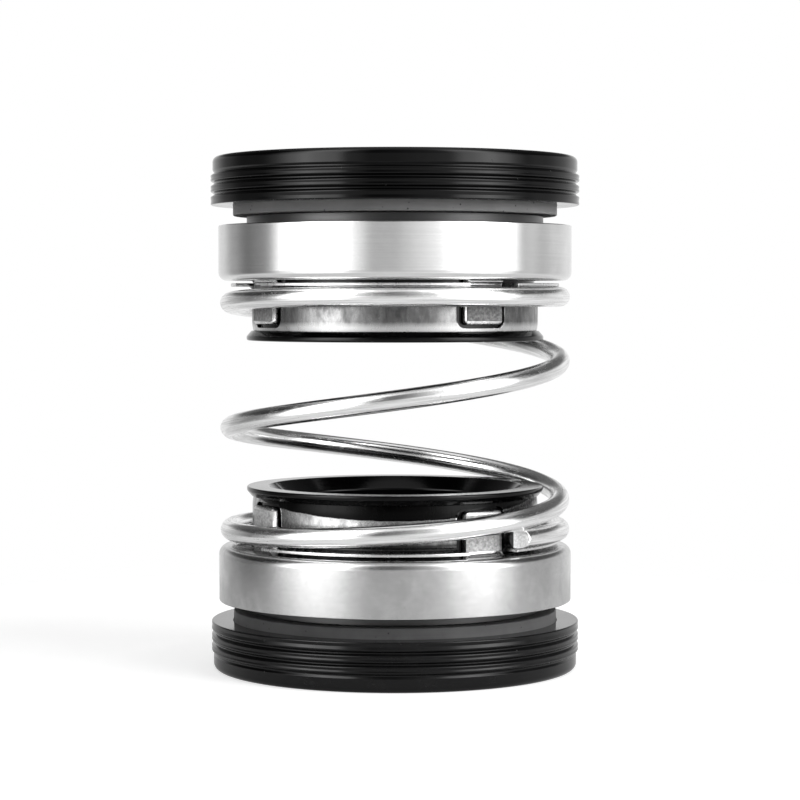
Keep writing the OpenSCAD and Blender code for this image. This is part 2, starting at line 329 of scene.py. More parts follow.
lowerFingerSteel = pressedSteel("lowerFingerSteel", fingerLook)
# the upper fingers are painted darker than the lower ones, as painted shade: lit and shaded copies of one steel
upperFingerSteel = pressedSteel("upperFingerSteel", {
    **fingerLook, "dull": 0.18, "bright": 0.34, "markTone": 0.6, "rough": (0.7, 0.8)})
cutLook = {
    "dull": 0.6, "bright": 0.85, "lineTone": 0.8, "lineShow": 0.2, "lineScale": 3000.0, "lineSway": 900.0,
    "lineDepth": 0.001, "cloudScale": 1500.0, "fineScale": 5200.0, "fineDepth": 0.002, "markTone": 0.5,
    "markScale": 1700.0, "markShare": 0.05, "rough": (0.22, 0.32), "roughFine": 0.05}
cutEdgeSteel = pressedSteel("cutEdgeSteel", cutLook)
cutWireSteel = pressedSteel("cutWireSteel", {**cutLook, "dull": 0.1, "bright": 0.2, "lineTone": 0.15})
# painted light on both drive bands: painted shade in the fold and a painted highlight on the rim
bandLook = {
    "lineTone": 0.24, "lineShow": 0.15, "lineScale": 2200.0, "lineSway": 600.0, "lineDepth": 0.0008,
    "cloudScale": 900.0, "stretch": 0.4, "fineScale": 3800.0, "fineDepth": 0.0012, "markTone": 0.16,
    "markScale": 1400.0, "markShare": 0.08, "roughFine": 0.06, "ragged": 0.05,
    "foldFrom": 14.75, "foldTo": 15.3, "foldPaintedShade": 0.03, "rimFrom": 14.12, "rimTo": 14.2, "rimPaintedHighlight": 0.7}
# the upper band is painted darker than the lower as painted shade, and its rolled end is painted lighter as a
# painted reflection
upperBandSteel = pressedSteel("upperBandSteel", {
    **bandLook, "dull": 0.095, "bright": 0.24, "rough": (0.2, 0.34),
    "rollFrom": 17.9, "rollTo": 18.5, "rollSlope": 0.0, "rollPaintedReflection": 0.6})
# the lower band's rolled end is painted near black, a painted dark reflection, toward the front side and fading
# toward the back
lowerBandSteel = pressedSteel("lowerBandSteel", {
    **bandLook, "dull": 0.18, "bright": 0.5, "rough": (0.16, 0.28),
    "rollFrom": 19.75, "rollTo": 19.81, "rollSlope": 0.153, "rollPaintedReflection": 0.006})
wireSteel = drawnWire("wireSteel", {
    "bright": 0.95, "dull": 0.74, "markTone": 0.4, "streakStep": 150.0, "streakFine": 7.0, "streakDepth": 0.006,
    "rough": (0.14, 0.23), "roughCloud": 0.08})
print("finishes made")


# Small helpers for shapes.

hair = 0.005  # how far the drawn surface lies inside the solid


def newObject(name, data):
    made = bpy.data.objects.new(name, data)
    bpy.context.scene.collection.objects.link(made)
    return made


def applied(holder):  # the plain mesh that the modifiers give; the object itself goes
    graph = bpy.context.evaluated_depsgraph_get()
    made = bpy.data.meshes.new_from_object(holder.evaluated_get(graph))
    bpy.data.objects.remove(holder)
    return made


def grow(tree, start, values):  # runs a tree on a start mesh and gives its result as a plain mesh
    holder = newObject(tree.name, start)
    modifier = holder.modifiers.new(tree.name, "NODES")
    modifier.node_group = tree
    for item in tree.interface.items_tree:
        if item.item_type == "SOCKET" and item.in_out == "INPUT" and item.name in values:
            modifier[item.identifier] = values[item.name]
    return applied(holder)


def sweep(path, section, finish, out, caps=False):  # a section carried upright along a path, as a finished mesh
    tree = path.id_data
    upright = take(tree, "GeometryNodeSetCurveNormal", {"Curve": path}, mode="Z_UP")
    swept = take(tree, "GeometryNodeCurveToMesh", {
        "Curve": upright, "Profile Curve": section, "Fill Caps": caps})
    plain = take(tree, "GeometryNodeRealizeInstances", {"Geometry": swept})
    feed(out, take(tree, "GeometryNodeSetMaterial", {"Geometry": plain, "Material": finish}))


def circle(sides, radius):
    return take(sides.id_data, "GeometryNodeCurvePrimitiveCircle", {"Resolution": sides, "Radius": radius})


def makeTurnedRing():  # turns a section round the axis
    tree, given, out = makeGroup(
        "turnedRing", "GeometryNodeTree",
        [("Section", "Geometry"), ("Segments", "Int", 224), ("Radius", "Float", 0.01), ("Finish", "Material")],
        [("Ring", "Geometry")])
    section = take(tree, "GeometryNodeMeshToCurve", {"Mesh": given["Section"]})
    sweep(circle(given["Segments"], given["Radius"]), section, given["Finish"], out["Ring"])
    return tree


turnedRing = makeTurnedRing()


def rounded(corners, stepDegrees=12):  # corners are (radius, height, rounding) in millimetres
    limits = {"sideShare": 0.42, "least": 0.005, "straight": 88.0, "guard": 0.12}
    outline = []
    for index, (radius, height, rounding) in enumerate(corners):
        corner = Vector((radius, height))
        back = Vector(corners[index - 1][:2]) - corner
        ahead = Vector(corners[(index + 1) % len(corners)][:2]) - corner
        half = back.angle(ahead) / 2
        rounding = min(rounding, limits["sideShare"] * min(back.length, ahead.length) * math.tan(half))
        if rounding < limits["least"] or half > math.radians(limits["straight"]):
            outline.append(corner)
            continue
        centre = corner + (back.normalized() + ahead.normalized()).normalized() * rounding / math.sin(half)
        first = corner + back.normalized() * rounding / math.tan(half) - centre
        last = corner + ahead.normalized() * rounding / math.tan(half) - centre
        turn = math.pi - 2 * half
        steps = max(2, round(math.degrees(turn) / stepDegrees))
        guard = limits["guard"] * rounding  # a point past each end keeps the flat faces flat in their shading
        outline.append(centre + first + back.normalized() * guard)
        for step in range(steps + 1):
            share = step / steps
            blend = first * math.sin((1 - share) * turn) + last * math.sin(share * turn)
            outline.append(centre + blend / math.sin(turn))
        outline.append(centre + last + ahead.normalized() * guard)
    return outline


def turned(name, corners, finish, segments=224):
    outline = rounded(corners)
    middle = sum(point.x for point in outline) / len(outline)
    section = bpy.data.meshes.new(name + "Section")
    count = len(outline)
    section.from_pydata([((point.x - middle) * mm, -point.y * mm, 0.0) for point in outline],
                        [(index, (index + 1) % count) for index in range(count)], [])
    return grow(turnedRing, section, {"Segments": segments, "Radius": middle * mm, "Finish": finish})


def store(work, mesh):  # ends the editing of a mesh
    work.to_mesh(mesh)
    work.free()
    return mesh


def tidyMesh(mesh, sharpDegrees=32):  # merges doubles, turns faces outwards, shades it
    work = bmesh.new()
    work.from_mesh(mesh)
    bmesh.ops.remove_doubles(work, verts=work.verts, dist=1e-7)
    bmesh.ops.recalc_face_normals(work, faces=work.faces)
    if work.calc_volume(signed=True) < 0:
        bmesh.ops.reverse_faces(work, faces=work.faces)
    store(work, mesh)
    mesh.polygons.foreach_set("use_smooth", [True] * len(mesh.polygons))
    mesh.set_sharp_from_angle(angle=math.radians(sharpDegrees))
    return mesh


def softenEdges(mesh, width, degrees, edgeFinish=-1):  # rounds the edges of cut metal
    holder = newObject("soften", mesh)
    bevel = holder.modifiers.new("bevel", "BEVEL")
    bevel.width = width * mm
    bevel.segments = 2
    bevel.harden_normals = True
    bevel.material = edgeFinish
    bevel.limit_method = "ANGLE"
    bevel.angle_limit = math.radians(degrees)
    return applied(holder)


def joined(name, parts):  # one mesh of several, each with its own finishes
    whole = bpy.data.meshes.new(name)
    work = bmesh.new()
    for part in parts:
        before, first = len(work.faces), len(whole.materials)
        work.from_mesh(part)
        work.faces.ensure_lookup_table()
        for face in work.faces[before:]:
            face.material_index += first
        for finish in part.materials:
            whole.materials.append(finish)
    return store(work, whole)


def turnedOver(mesh, name):  # the same piece on the upper head
    copy = mesh.copy()
    copy.name = name
    copy.transform(Matrix.Translation((0, 0, totalHeight * mm)) @ Matrix.Diagonal((1, 1, -1, 1)))
    return tidyMesh(copy)


def place(name, mesh, node):
    piece = newObject(name, mesh)
    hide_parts(node)
    return piece


def reach(node):  # outer radius and both heights of a node, in millimetres
    low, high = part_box(node)
    return high.x / mm, low.z / mm, high.z / mm


# Seat cups and seat rings

def seatCup():
    sizes = {"landDrop": 0.23, "landEdge": 0.05, "endRound": 1.0, "grooves": 3, "pitch": 1.17,
             "grooveDepth": 0.36, "grooveMouth": 0.29, "grooveRoot": 0.07, "rootRound": 0.06, "ribRound": 0.16,
             "hollow": 0.06, "hollowRound": 0.3, "holeRadius": 14.2, "holeEdge": 0.1, "faceEdge": 0.14,
             "pocketRadius": 17.78, "pocketEdge": 0.12, "floor": 1.27, "endDepth": 0.02, "endFacing": 0.99,
             "segments": 256}
    crest, low, high = reach("lower_seat_cup")
    crest -= hair
    land, root, hole, floor = (crest - sizes["landDrop"], crest - sizes["grooveDepth"],
                               sizes["holeRadius"], low + sizes["floor"])
    corners = [(hole, low, sizes["holeEdge"]), (land, low, sizes["endRound"])]
    for index in range(sizes["grooves"]):
        middle = high - (sizes["grooves"] - index) * sizes["pitch"]
        below, above = middle - sizes["grooveMouth"], middle + sizes["grooveMouth"]
        corners += [(land, below, sizes["landEdge"]) if index == 0 else (crest, below, sizes["ribRound"]),
                    (root, middle - sizes["grooveRoot"], sizes["rootRound"]),
                    (root, middle + sizes["grooveRoot"], sizes["rootRound"]),
                    (crest, above, sizes["ribRound"])]
        after = high if index == sizes["grooves"] - 1 else below + sizes["pitch"]
        corners.append((crest - sizes["hollow"], (above + after) / 2, sizes["hollowRound"]))  # round each rib
    corners += [(crest, high, sizes["faceEdge"]), (sizes["pocketRadius"], high, sizes["pocketEdge"]),
                (sizes["pocketRadius"], floor, 0), (hole, floor, 0)]
    mesh = tidyMesh(turned("seatCup", corners, lowerCupRubber, sizes["segments"]))
    mesh.materials.append(cupEndRubber)
    for face in mesh.polygons:  # the flat outer end is matt from its mould
        if face.center.z < (low + sizes["endDepth"]) * mm and face.normal.z < -sizes["endFacing"]:
            face.material_index = 1
    return mesh


def seatRing():
    sizes = {"boreRadius": 13.3, "edge": 0.3, "lap": 0.16}
    outer, low, high = reach("lower_seat_ring")
    return tidyMesh(turned("seatRing", [
        (sizes["boreRadius"], low, sizes["edge"]), (outer - hair, low, sizes["edge"]),
        (outer - hair, high, sizes["lap"]), (sizes["boreRadius"], high, sizes["edge"])], lowerSeatCeramic))


for label, mesh, node, slot, upperFinish in (
        ("SeatCup", seatCup(), "_seat_cup", "cup_rubber", upperCupRubber),
        ("SeatRing", seatRing(), "_seat_ring", "seat_face", upperSeatCeramic)):
    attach(place("lower" + label, mesh, "lower" + node), "lower_seat")
    above = turnedOver(mesh, "upper" + label)
    above.materials[0] = upperFinish
    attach(place("upper" + label, above, "upper" + node), "upper_seat")
print("seat cups and seat rings made")


# Face rings and shells

def faceRing():
    sizes = {"boreRadius": 13.4, "noseRadius": 16.25, "step": 1.45, "stepEdge": 0.08, "edge": 0.25, "lap": 0.1}
    outer, low, high = reach("lower_face_ring")
    shoulder = low + sizes["step"]
    return tidyMesh(turned("faceRing", [
        (sizes["boreRadius"], low, sizes["lap"]), (sizes["noseRadius"], low, sizes["lap"]),
        (sizes["noseRadius"], shoulder, sizes["stepEdge"]), (outer - hair, shoulder, sizes["edge"]),
        (outer - hair, high, sizes["edge"]), (sizes["boreRadius"], high, sizes["edge"])], faceCarbon))


shellSizes = {
    "thickness": 0.65, "height": 6.0, "shoulder": 0.9, "holeRadius": 15.88, "holeEdge": 0.06, "openEdge": 0.12,
    "segments": 256, "firstFinger": -54.0, "split": 82.0, "fingerWidth": 4.7, "fingerInner": 15.5,
    "fingerBend": 0.5, "bendSteps": 8, "bendShine": 0.12, "fingerLap": 0.3, "sunk": 0.02, "fingerRows": 6,
    "fingerColumns": 10, "fingerCorner": 0.5, "cornerAngles": (12, 24, 36, 48, 60, 72, 81, 90), "tipRoll": 0.4,
    "sideFacing": 0.8, "cutEdge": 0.07}


def shellCup(finish):
    sizes = shellSizes
    outer, low, _ = reach("lower_shell")
    outer -= hair
    top = low + sizes["height"]
    inner, under = outer - sizes["thickness"], top - sizes["thickness"]
    return turned("shellCup", [
        (inner, low, sizes["openEdge"]), (outer, low, sizes["openEdge"]), (outer, top, sizes["shoulder"]),
        (sizes["holeRadius"], top, sizes["holeEdge"]), (sizes["holeRadius"], under, sizes["holeEdge"]),
        (inner, under, sizes["shoulder"] - sizes["thickness"])], finish, sizes["segments"])


def fingerPaths():  # outer and inner path of one finger, root to tip, as (radius, height) pairs
    sizes = shellSizes
    _, low, tip = reach("lower_shell")
    tip -= hair
    top, sunk = low + sizes["height"], sizes["sunk"]  # the root lies a little inside the shell's own sheet
    under = top - sizes["thickness"]
    inner, bend, corner, roll = (sizes[key] for key in ("fingerInner", "fingerBend", "fingerCorner", "tipRoll"))
    outer, wide = inner + sizes["thickness"], bend + sizes["thickness"]
    outerPath = [(outer + bend + sizes["fingerLap"], top - sunk)]
    innerPath = [(outer + bend + sizes["fingerLap"], under + sunk)]
    for step in range(sizes["bendSteps"] + 1):
        angle = math.radians(-90 - 90 * step / sizes["bendSteps"])
        outerPath.append((outer + bend + bend * math.cos(angle), top - sunk + bend + bend * math.sin(angle)))
        innerPath.append((outer + bend + wide * math.cos(angle), under + wide + wide * math.sin(angle)))
    rise, rows = innerPath[-1][1], sizes["fingerRows"]
    heights = [rise + (tip - corner - rise) * row / rows for row in range(1, rows + 1)]
    heights += [tip - corner + corner * math.sin(math.radians(angle)) for angle in sizes["cornerAngles"]]
    for height in heights:
        over = max(0.0, height - (tip - roll))
        outerPath.append((outer - roll + math.sqrt(max(0.0, roll ** 2 - over ** 2)), height))
    innerPath += [(inner, height) for height in heights]
    return outerPath, innerPath, tip


def finger(finish, fingerFinish):
    sizes = shellSizes
    outerPath, innerPath, tip = fingerPaths()
    columns, corner = sizes["fingerColumns"], sizes["fingerCorner"]
    work = bmesh.new()
    sheets = []
    for path in (outerPath, innerPath):
        rows = []
        for radius, height in path:
            over = max(0.0, height - (tip - corner))
            half = sizes["fingerWidth"] / 2 - corner + math.sqrt(max(0.0, corner ** 2 - over ** 2))
            offsets = [half * (2 * column / columns - 1) for column in range(columns + 1)]
            rows.append([work.verts.new((math.sqrt(radius ** 2 - offset ** 2) * mm, offset * mm, height * mm))
                         for offset in offsets])
        sheets.append(rows)
    outerRows, innerRows = sheets
    last = len(outerRows) - 1
    for row in range(last):
        for column in range(columns):
            for rows in sheets:
                work.faces.new((rows[row][column], rows[row][column + 1],
                                rows[row + 1][column + 1], rows[row + 1][column]))
        for column in (0, columns):
            work.faces.new((outerRows[row][column], outerRows[row + 1][column],
                            innerRows[row + 1][column], innerRows[row][column]))
    for row in (0, last):
        for column in range(columns):
            work.faces.new((outerRows[row][column], outerRows[row][column + 1],
                            innerRows[row][column + 1], innerRows[row][column]))
    bmesh.ops.recalc_face_normals(work, faces=work.faces)
    bendTop = (outerPath[sizes["bendSteps"] + 1][1] + sizes["bendShine"]) * mm
    for face in work.faces:  # the bend is as bright as the shell, the blade is matt, and its cut edges are bare
        middle = face.calc_center_median().z
        bare = middle > (tip - sizes["tipRoll"]) * mm or abs(face.normal.y) > sizes["sideFacing"]
        face.material_index = 2 if bare else 1 if middle < bendTop else 0
    mesh = store(work, bpy.data.meshes.new("finger"))
    for finishOfPart in (fingerFinish, finish, cutEdgeSteel):
        mesh.materials.append(finishOfPart)
    made = softenEdges(mesh, sizes["cutEdge"], degrees=55, edgeFinish=2)
    part = made.attributes.new("finishPart", "INT", "FACE")
    part.data.foreach_set("value", [face.material_index for face in made.polygons])
    return made


def makeFingerRing():  # four copies: opposite pairs, the second pair turned by the split angle
    tree, given, out = makeGroup(
        "fingerRing", "GeometryNodeTree",
        [("Finger", "Geometry"), ("First Angle", "Float"), ("Split Angle", "Float"),
         ("Finish", "Material"), ("Bend Finish", "Material"), ("Edge Finish", "Material")],
        [("Fingers", "Geometry")])
    points = take(tree, "GeometryNodeMeshLine", {"Count": 4, "Offset": (0.0, 0.0, 0.0)})
    index = take(tree, "GeometryNodeInputIndex")
    side = times(calc("MODULO", index, 2.0), math.pi)
    pair = times(calc("FLOOR", calc("DIVIDE", index, 2.0)), given["Split Angle"])
    angle = plus(plus(side, pair), given["First Angle"])
    copies = take(tree, "GeometryNodeInstanceOnPoints", {
        "Points": points, "Instance": given["Finger"], "Rotation": combine(z=angle)})
    plain = take(tree, "GeometryNodeRealizeInstances", {"Geometry": copies})
    part = take(tree, "GeometryNodeInputNamedAttribute", {"Name": "finishPart"}, data_type="INT")
    for number, label in enumerate(("Finish", "Bend Finish", "Edge Finish")):
        chosen = take(tree, "FunctionNodeCompare", {2: part, 3: number}, data_type="INT", operation="EQUAL")
        plain = take(tree, "GeometryNodeSetMaterial", {
            "Geometry": plain, "Selection": chosen, "Material": given[label]})
    feed(out["Fingers"], plain)
    return tree


fingerRing = makeFingerRing()


def shell(name, finish, fingerFinish):
    first, between = (math.radians(shellSizes[key]) for key in ("firstFinger", "split"))
    fingers = grow(fingerRing, finger(finish, fingerFinish), {
        "First Angle": first, "Split Angle": between,
        "Finish": fingerFinish, "Bend Finish": finish, "Edge Finish": cutEdgeSteel})
    return tidyMesh(joined(name, [shellCup(finish), fingers]))


lowerRing = faceRing()
upperRing = turnedOver(lowerRing, "upperFaceRing")
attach(place("lowerFaceRing", lowerRing, "lower_face_ring"), "lower_rotor")
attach(place("upperFaceRing", upperRing, "upper_face_ring"), "upper_rotor")
lowerShell = shell("lowerShell", lowerShellSteel, lowerFingerSteel)
upperShell = turnedOver(shell("upperShellDrawn", upperShellSteel, upperFingerSteel), "upperShell")
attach(place("lowerShell", lowerShell, "lower_shell"), "lower_rotor")
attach(place("upperShell", upperShell, "upper_shell"), "upper_rotor")
print("face rings and shells made")


# Drive bands

bandSizes = {
    "thickness": 0.35, "innerRadius": 15.33, "fillet": 0.5, "rim": 0.1, "endEdge": 0.03, "crownHeight": 1.1,
    "crownDrop": 0.12, "crownSteps": 7, "slotWidth": 6.3, "slotEnd": 18.61, "slotCorner": 1.0, "cutEdge": 0.045,
    "segments": 288}


def slotCutter(low, degrees):  # one bar cuts the two slots that face each other
    half, end, corner = bandSizes["slotWidth"] / 2, bandSizes["slotEnd"], bandSizes["slotCorner"]
    outline = rounded([(-half, low - 1, 0), (half, low - 1, 0), (half, end, corner), (-half, end, corner)], 9)
    work = bmesh.new()
    ends = [[work.verts.new((along * mm, point.x * mm, point.y * mm)) for point in outline]
            for along in (-20, 20)]
    for row in ends:
        work.faces.new(row)
    for index in range(len(outline)):
        after = (index + 1) % len(outline)
        work.faces.new((ends[0][index], ends[0][after], ends[1][after], ends[1][index]))
    bmesh.ops.recalc_face_normals(work, faces=work.faces)
    bmesh.ops.rotate(work, verts=work.verts, matrix=Matrix.Rotation(math.radians(degrees), 3, "Z"))
    return newObject("slotCutter", store(work, bpy.data.meshes.new("slotCutter")))


def driveBand(name, finish):
    sizes = bandSizes
    rim, low, high = reach("lower_drive_band")
    rim -= hair
    inner, top = sizes["innerRadius"], low + sizes["thickness"]
    outer = inner + sizes["thickness"]
    tall, drop, edge = sizes["crownHeight"], sizes["crownDrop"], sizes["endEdge"]
    curve = (tall ** 2 + drop ** 2) / (2 * drop)
    crown = []  # the end is drawn in on a large arc
    for step in range(sizes["crownSteps"] + 1):
        angle = math.asin(tall / curve) * step / sizes["crownSteps"]
        crown.append((outer - curve + curve * math.cos(angle), high - tall + curve * math.sin(angle), edge))
    band = tidyMesh(turned(name, [
        (inner, low, sizes["fillet"]), (rim, low, sizes["rim"]), (rim, top, sizes["rim"]),
        (outer, top, sizes["fillet"]), *crown, (inner, high, edge)], finish, sizes["segments"]))
    cut = newObject("bandCut", band)
    cutters = [slotCutter(low, shellSizes["firstFinger"] + turn) for turn in (0, shellSizes["split"])]
    for cutter in cutters:
        boolean = cut.modifiers.new("slot", "BOOLEAN")
        boolean.operation = "DIFFERENCE"
        boolean.solver = "EXACT"
        boolean.object = cutter
    made = applied(cut)
    for cutter in cutters:
        bpy.data.objects.remove(cutter)
    return tidyMesh(softenEdges(made, sizes["cutEdge"], degrees=50), sharpDegrees=30)


lowerBand = driveBand("lowerDriveBand", lowerBandSteel)
upperBand = turnedOver(driveBand("upperBandDrawn", upperBandSteel), "upperDriveBand")
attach(place("lowerDriveBand", lowerBand, "lower_drive_band"), "lower_drive")
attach(place("upperDriveBand", upperBand, "upper_drive_band"), "upper_drive")
print("drive bands made")


# Bellows

def bellows():
    sizes = {"bore": 12.5, "head": 18.67, "headEdge": 0.1, "wrap": 17.43, "wrapEdge": 0.05, "wall": 12.83,
             "wallRound": 0.5, "back": 11.54, "skin": 0.25, "neck": 15.3, "neckRound": 0.1, "lipUnder": 18.99,
             "lipEdge": 0.05, "lipRoot": 15.79, "rootRound": 0.08, "lip": 16.3, "lipRound": 0.2,
             "lipWall": 0.25, "flareRound": 0.3, "mouth": 13.9, "mouthRound": 0.25, "gripStart": 15.24,
             "gripEnd": 18.64, "gripRound": 0.3, "relief": 14.0, "reliefRise": 1.5, "segments": 256}
    _, low, high = reach("lower_bellows")
    high -= hair
    head, neck, bore, grip = sizes["head"] - hair, sizes["neck"], sizes["bore"], sizes["gripRound"]
    return tidyMesh(turned("bellows", [
        (sizes["wrap"], low, sizes["wrapEdge"]), (head, low, sizes["headEdge"]),
        (head, sizes["wall"], sizes["wallRound"]), (neck, sizes["wall"], sizes["neckRound"]),
        (neck, sizes["lipUnder"], sizes["lipEdge"]), (sizes["lipRoot"], sizes["lipUnder"], sizes["rootRound"]),
        (sizes["lip"], high - sizes["lipRound"] - sizes["lipWall"], sizes["flareRound"]),
        (sizes["lip"], high, sizes["lipRound"]), (sizes["mouth"], high, sizes["mouthRound"]),
        (bore, sizes["gripEnd"], grip), (bore, sizes["gripStart"], grip),
        (sizes["relief"], sizes["gripStart"] - sizes["reliefRise"], grip),
        (sizes["relief"], sizes["back"], sizes["skin"]), (sizes["wrap"], sizes["back"], 0)],
        bellowsRubber, sizes["segments"]))


rubber = bellows()
lowerBellows = place("lowerBellows", rubber, "lower_bellows")
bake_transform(lowerBellows)
upperBellows = place("upperBellows", turnedOver(rubber, "upperBellows"), "upper_bellows")
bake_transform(upperBellows)
print("bellows made")


# Spring

def mark(geometry, name, value, kind="FLOAT"):
    return take(geometry.id_data, "GeometryNodeStoreNamedAttribute", {
        "Geometry": geometry, "Name": name, "Value": value}, data_type=kind, domain="POINT")


def makeCoil():  # a wire swept along a coil that lies flat at both ends
    tree, given, out = makeGroup(
        "coil", "GeometryNodeTree",
        [("Start", "Geometry"), ("Turns", "Float"), ("Coil Radius", "Float"), ("Wire Radius", "Float"),
         ("Rise", "Float"), ("Flat Angle", "Float"), ("Ease Angle", "Float"), ("First Angle", "Float"),
         ("Base Height", "Float"), ("Steps", "Int"), ("Sides", "Int"), ("Finish", "Material")],
        [("Wire", "Geometry")])
    radius, ease = given["Coil Radius"], given["Ease Angle"]
    line = take(tree, "GeometryNodeCurvePrimitiveLine")
    path = take(tree, "GeometryNodeResampleCurve", {"Curve": line, "Count": given["Steps"]})
    whole = times(given["Turns"], 2 * math.pi)
    wound = times(take(tree, "GeometryNodeSplineParameter"), whole)
    climb = minus(whole, times(given["Flat Angle"], 2.0))
    passed = calc("MAXIMUM", minus(wound, given["Flat Angle"]), 0.0)
    passed = calc("MINIMUM", passed, climb)
    level = minus(climb, ease)  # where the last ease begins
    started = calc("MINIMUM", passed, ease)
    steady = minus(calc("MINIMUM", calc("MAXIMUM", passed, ease), level), ease)
    left = minus(climb, calc("MAXIMUM", passed, level))
    squares = minus(plus(times(started, started), times(ease, ease)), times(left, left))
    grown = plus(steady, calc("DIVIDE", squares, times(ease, 2.0)))
    height = times(calc("DIVIDE", given["Rise"], minus(climb, ease)), grown)
    angle = plus(wound, given["First Angle"])
    centre = combine(times(calc("COSINE", angle), radius),
                     times(calc("SINE", angle), radius), plus(height, given["Base Height"]))
    marked = mark(mark(path, "coilHeight", height), "wireLength", times(wound, radius))
    coiled = take(tree, "GeometryNodeSetPosition", {"Geometry": marked, "Position": centre})
    around = take(tree, "ShaderNodeVectorMath", {0: take(tree, "GeometryNodeInputPosition")},
                 operation="NORMALIZE")
    section = mark(circle(given["Sides"], given["Wire Radius"]), "wireRound", around, "FLOAT_VECTOR")
    sweep(coiled, section, given["Finish"], out["Wire"], caps=True)
    return tree


springSizes = {"wire": 2.15, "turns": 3.48, "flat": 225.0, "ease": 200.0, "cut": -45.0, "steps": 620,
               "sides": 32, "cutEdge": 0.07, "shear": 30.0, "shearFrom": -0.35, "shearRings": 5}


def spring():
    sizes = springSizes
    outer, low, high = reach("spring")
    wireRadius = sizes["wire"] / 2
    coilRadius = outer - wireRadius
    start = bpy.data.meshes.new("coilStart")
    start.from_pydata([(0, 0, 0)], [], [])
    made = grow(makeCoil(), start, {
        "Turns": sizes["turns"], "Coil Radius": coilRadius * mm, "Wire Radius": (wireRadius - hair) * mm,
        "Rise": (high - low - sizes["wire"]) * mm, "Flat Angle": math.radians(sizes["flat"]),
        "Ease Angle": math.radians(sizes["ease"]), "First Angle": math.radians(sizes["cut"]),
        "Base Height": (low + wireRadius) * mm, "Steps": sizes["steps"], "Sides": sizes["sides"],
        "Finish": wireSteel})
    made.materials.append(cutWireSteel)
    for end, side in ((sizes["cut"], -1), (sizes["cut"] + 360 * sizes["turns"], 1)):
        height = (low if side < 0 else high - sizes["wire"]) + wireRadius
        shearEnd(made, math.radians(end), side, coilRadius, height)
    return tidyMesh(softenEdges(made, sizes["cutEdge"], degrees=45), sharpDegrees=25)


def shearEnd(mesh, angle, side, coilRadius, height):  # the outer part of a cut end leans back from the blade
    lean, rings = math.tan(math.radians(springSizes["shear"])), springSizes["shearRings"]
    centre = Vector((math.cos(angle) * coilRadius, math.sin(angle) * coilRadius, height))
    work = bmesh.new()
    work.from_mesh(mesh)
    cap = min((face for face in work.faces if len(face.verts) > 4),
              key=lambda face: (face.calc_center_median() / mm - centre).length)
    outwards = {vert: vert.co.xy.length / mm - coilRadius for vert in cap.verts}
    crease = []
    for half in (1, -1):  # the two rim points where the lean begins, above and below the wire's middle
        rim = [vert for vert in cap.verts if (vert.co.z / mm - height) * half > 0]
        crease.append(min(rim, key=lambda vert: abs(outwards[vert] - springSizes["shearFrom"])))
    pivot = max(outwards[vert] for vert in crease)
    ring, done = set(cap.verts), set()
    for step in range(rings):
        for vert in ring:
            back = max(0.0, vert.co.xy.length / mm - coilRadius - pivot) * lean * (1 - step / rings)
            vert.co = Matrix.Rotation(-side * back / coilRadius, 3, "Z") @ vert.co
        done |= ring
        ring = {edge.other_vert(vert) for vert in ring for edge in vert.link_edges} - done
    bmesh.ops.connect_verts(work, verts=crease)
    halves = [face for face in crease[0].link_faces if crease[1] in face.verts]
    min(halves, key=lambda face: face.calc_center_median().xy.length).material_index = 1  # the duller half
    store(work, mesh)


wire = place("coilSpring", spring(), "spring")
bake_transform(wire)
# every point of one cross section moves alike, so that the wire stays round as the spring closes
print("spring made,", len(wire.data.polygons), "faces")


# Floor, light and camera

def whiteFloor():
    # a small round sheet: the white room shows beyond it, so that the shells' walls reflect the room
    sizes = {"radius": 0.095, "sides": 128, "tone": 0.5, "rough": 0.9, "glow": 0.68, "mirrorGlow": 0.3}
    radius, sides = sizes["radius"], range(sizes["sides"])
    turns = [2 * math.pi * side / len(sides) for side in sides]
    mesh = bpy.data.meshes.new("floor")
    rim = [(radius * math.cos(turn), radius * math.sin(turn), 0) for turn in turns]
    mesh.from_pydata(rim, [], [list(sides)])
    material = bpy.data.materials.new("paleFloor")
    material.use_nodes = True
    tree = material.node_tree
    path = put(tree, "ShaderNodeLightPath").outputs
    seen = calc("MAXIMUM", path["Is Camera Ray"], path["Is Transmission Ray"])
    glow = plus(times(seen, sizes["glow"]), times(path["Is Glossy Ray"], sizes["mirrorGlow"]))
    for socket, value in (
            ("Base Color", colour(sizes["tone"])), ("Roughness", sizes["rough"]), ("Specular IOR Level", 0.0),
            ("Emission Color", colour(1.0)), ("Emission Strength", glow)):
        feed(tree.nodes["Principled BSDF"].inputs[socket], value)
    mesh.materials.append(material)
    newObject("floor", mesh)


def makeRamp(value, stops):  # grey levels along a value, smooth between the stops
    low, high = stops[0][0], stops[-1][0]
    ramp = put(value.id_data, "ShaderNodeValToRGB", {"Fac": within(value, low, high)})
    ramp.color_ramp.interpolation = "EASE"
    elements = ramp.color_ramp.elements
    while len(elements) > 1:
        elements.remove(elements[0])
    for index, (stop, level) in enumerate(stops):
        position = (stop - low) / (high - low)
        element = elements[0] if index == 0 else elements.new(position)
        element.position = position
        element.color = colour(level)
    return ramp.outputs["Color"]


